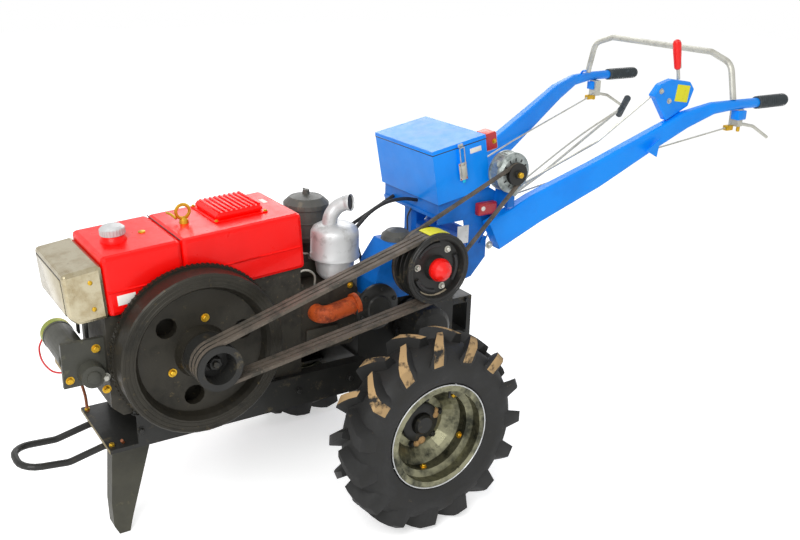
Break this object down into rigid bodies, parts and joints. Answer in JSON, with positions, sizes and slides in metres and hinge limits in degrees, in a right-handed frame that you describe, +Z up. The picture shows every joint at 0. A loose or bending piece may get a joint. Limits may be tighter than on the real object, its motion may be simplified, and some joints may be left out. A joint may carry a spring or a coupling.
{
  "type": "walking tractor",
  "caption": "Two-wheel walking tractor with a belt-driven diesel engine, lugged tyres, long handlebars, hinged battery box, bumper loop and folding front stand leg",
  "frame": {"origin": "on the ground, at the middle of the bounding box's bottom", "axes": "+Y toward the handlebar grips at the rear, +X toward the tractor's left side with the flywheel, +Z up"},
  "size_m": [0.985, 2.6649, 1.4125],
  "materials": {
    "rubber": "moulded lugged tyre rubber, dusty",
    "zinc": "zinc-plated pressed sheet",
    "black_paint": "satin black paint on cast and folded steel",
    "cast_iron": "dark oily sand-cast iron",
    "red_paint": "gloss red paint on pressed sheet",
    "chrome": "chrome-plated pressing",
    "silver_paint": "silver heat paint",
    "grey_paint": "dark grey paint",
    "brown_iron": "rust-brown primer on cast iron",
    "red_plastic": "clear red moulded plastic",
    "belt_rubber": "worn belt rubber",
    "blue_paint": "gloss blue paint",
    "black_plastic": "ribbed moulded grip",
    "bare_steel": "bare and dull-plated rod and tube"
  },
  "bodies": {
    "machine": {"air_filter": "grey_paint", "alternator": "silver_paint", "alternator_belt": "belt_rubber", "alternator_pulley": "black_paint", "arch_bar": "bare_steel", "axle_housing_left": "black_paint", "axle_housing_right": "black_paint", "battery_box": "blue_paint", "box_support": "blue_paint", "bumper_loop": "black_paint", "chassis_frame": "black_paint", "clutch_cap": "red_plastic", "clutch_dome": "grey_paint", "clutch_housing": "blue_paint", "clutch_lever": "bare_steel", "clutch_pulley": "black_paint", "clutch_rod": "bare_steel", "cylinder_head": "cast_iron", "engine_block": "cast_iron", "exhaust_elbow": "brown_iron", "filler_cap": "silver_paint", "flywheel": "cast_iron", "fuel_tank": "red_paint", "gear_lever": "bare_steel", "gearbox_case": "black_paint", "grip_left": "black_plastic", "grip_right": "black_plastic", "handlebar_base": "blue_paint", "handlebar_left": "blue_paint", "handlebar_right": "blue_paint", "hitch_bracket": "black_paint", "hub_pulley": "black_paint", "lamp_box": "red_plastic", "lever_quadrant": "blue_paint", "lifting_eye": "zinc", "marker_lamp": "red_plastic", "muffler": "silver_paint", "nose_cover": "chrome", "radiator_cap": "red_paint", "radiator_hood": "red_paint", "starter_motor": "grey_paint", "steering_lever_left": "bare_steel", "steering_lever_right": "bare_steel", "v_belt_1": "belt_rubber", "v_belt_2": "belt_rubber", "v_belt_3": "belt_rubber"},
    "wheel_left": {"tyre_left": "rubber", "rim_left": "zinc", "hub_left": "black_paint"},
    "wheel_right": {"tyre_right": "rubber", "rim_right": "zinc", "hub_right": "black_paint"},
    "stand": {"stand_leg": "black_paint"},
    "lid": {"box_lid": "blue_paint"}
  },
  "joints": [
    {"name": "wheel_left_spin", "type": "hinge", "parent": "machine", "child": "wheel_left", "pos_m": [0.41, -0.2225, 0.31], "axis": [1, 0, 0], "continuous": true},
    {"name": "wheel_right_spin", "type": "hinge", "parent": "machine", "child": "wheel_right", "pos_m": [-0.41, -0.2225, 0.31], "axis": [1, 0, 0], "continuous": true},
    {"name": "stand_leg_fold", "type": "hinge", "parent": "machine", "child": "stand", "pos_m": [0, -0.9675, 0.3], "axis": [1, 0, 0], "range_deg": [0, 90]},
    {"name": "box_lid_open", "type": "hinge", "parent": "machine", "child": "lid", "pos_m": [-0.1705, -0.0713, 1.0832], "axis": [0, -0.9831, -0.183], "range_deg": [0, 100]}
  ]
}
